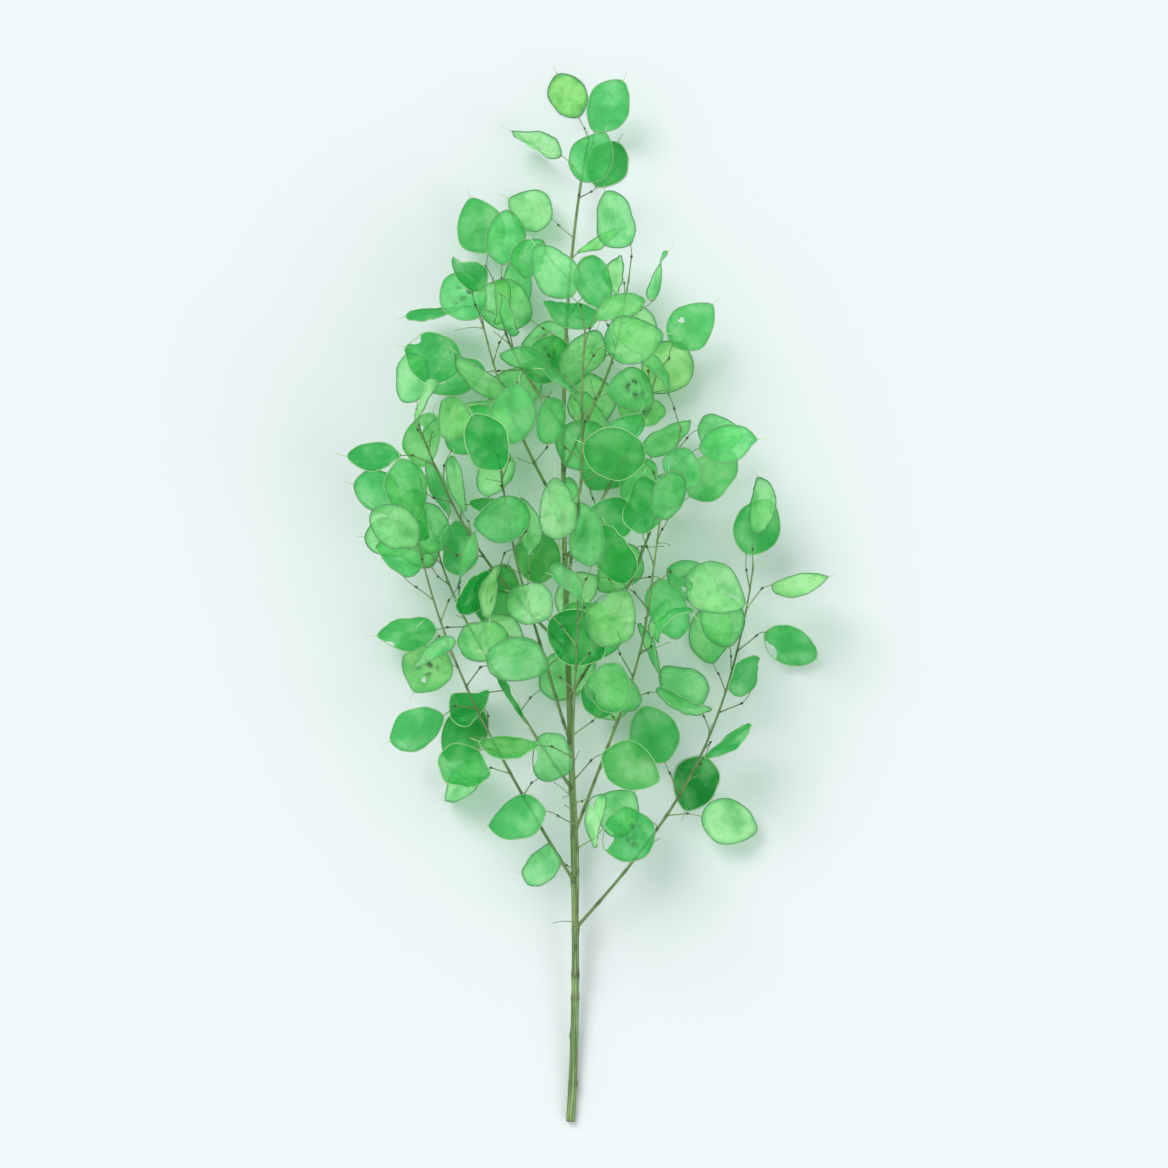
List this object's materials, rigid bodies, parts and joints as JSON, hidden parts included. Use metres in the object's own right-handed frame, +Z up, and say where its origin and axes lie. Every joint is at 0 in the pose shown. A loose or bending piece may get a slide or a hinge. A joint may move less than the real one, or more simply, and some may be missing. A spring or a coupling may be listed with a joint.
{
  "type": "dried honesty seed pod stem",
  "caption": "Cut, dried and dyed honesty stem lying flat: a woody stalk with side sprays of flat papery oval seed pods on wiry stalks.",
  "frame": {"origin": "on the surface that the stem lies on, under the middle of the ground it covers", "axes": "+Y along the stalk from its cut end to its tip, +X to the right seen from above, +Z up from the surface"},
  "size_m": [0.3663, 0.8171, 0.201],
  "materials": {
    "papery_pod": "thin translucent papery seed pod skin, dyed leaf green, satin",
    "dyed_stalk": "dried woody stalk with a thin yellow-green dye, matt"
  },
  "bodies": {
    "root": {"main_stem": "dyed_stalk", "side_spray_01": "papery_pod", "side_spray_02": "papery_pod", "side_spray_03": "papery_pod", "side_spray_04": "papery_pod", "side_spray_05": "papery_pod", "side_spray_06": "papery_pod", "side_spray_07": "papery_pod", "side_spray_08": "papery_pod", "side_spray_09": "papery_pod", "side_spray_10": "papery_pod", "side_spray_11": "papery_pod", "side_spray_12": "papery_pod", "side_spray_13": "papery_pod"}
  },
  "joints": []
}
